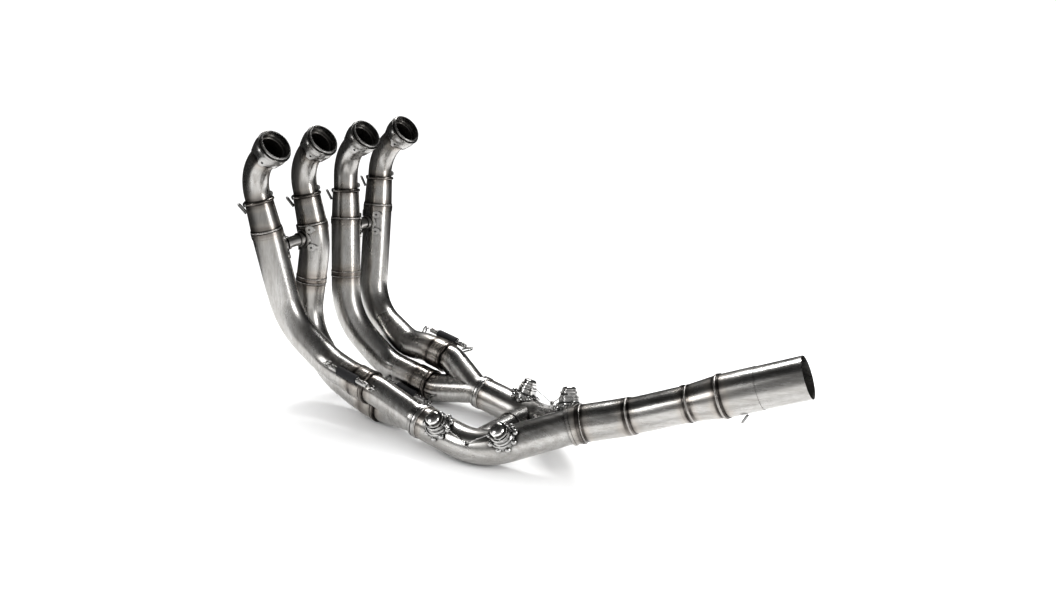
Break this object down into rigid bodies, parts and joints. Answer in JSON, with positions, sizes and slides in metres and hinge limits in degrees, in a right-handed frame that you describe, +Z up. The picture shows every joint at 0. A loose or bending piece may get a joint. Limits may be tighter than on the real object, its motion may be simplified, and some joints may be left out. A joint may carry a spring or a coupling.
{
  "type": "motorcycle exhaust header",
  "caption": "Raw metal motorcycle exhaust header: primary pipes pair up in two collectors and merge into a single outlet.",
  "frame": {"origin": "middle of the bounding box in plan, on the floor that the header stands on", "axes": "+X towards the outlet, +Y along the row of ports, +Z up"},
  "size_m": [0.7962, 0.314, 0.413],
  "materials": {
    "black_rubber": "smooth black rubber",
    "bright_steel": "bright turned and drawn steel",
    "machined_steel": "turned, fine tool marks",
    "raw_steel": "raw stainless sheet, satin, tinted brown beside the welds"
  },
  "bodies": {
    "root": {"balance_sleeve": "raw_steel", "balance_tube": "raw_steel", "bung_plug_1": "bright_steel", "bung_plug_2": "bright_steel", "bung_plug_3": "bright_steel", "bung_plug_4": "bright_steel", "collector_leg_1": "raw_steel", "collector_leg_2": "raw_steel", "collector_leg_3": "raw_steel", "collector_leg_4": "raw_steel", "collector_ring_far": "raw_steel", "collector_ring_near": "raw_steel", "crossover_saddles": "raw_steel", "crossover_tube_12": "raw_steel", "crossover_tube_34": "raw_steel", "inlet_bend_1": "raw_steel", "inlet_bend_2": "raw_steel", "inlet_bend_3": "raw_steel", "inlet_bend_4": "raw_steel", "inlet_collar_1": "machined_steel", "inlet_collar_2": "machined_steel", "inlet_collar_3": "machined_steel", "inlet_collar_4": "machined_steel", "joint_hooks": "bright_steel", "joint_tabs": "bright_steel", "link_tube": "raw_steel", "merge_ring": "raw_steel", "merge_tube": "raw_steel", "outlet_cone": "raw_steel", "outlet_hook": "bright_steel", "outlet_pipe": "raw_steel", "plug_washers": "bright_steel", "primary_tube_1": "raw_steel", "primary_tube_2": "raw_steel", "primary_tube_3": "raw_steel", "primary_tube_4": "raw_steel", "rubber_sleeves": "black_rubber", "safety_wire_far": "bright_steel", "safety_wire_near": "bright_steel", "secondary_far": "raw_steel", "secondary_near": "raw_steel", "sensor_bung_1": "bright_steel", "sensor_bung_2": "bright_steel", "sensor_bung_3": "bright_steel", "sensor_bung_4": "bright_steel", "slip_sleeve_1": "raw_steel", "slip_sleeve_2": "raw_steel", "slip_sleeve_3": "raw_steel", "slip_sleeve_4": "raw_steel", "slip_springs": "bright_steel", "spring_hooks": "bright_steel", "taper_cone_1": "raw_steel", "taper_cone_2": "raw_steel", "taper_cone_3": "raw_steel", "taper_cone_4": "raw_steel", "wire_clips": "bright_steel"}
  },
  "joints": []
}
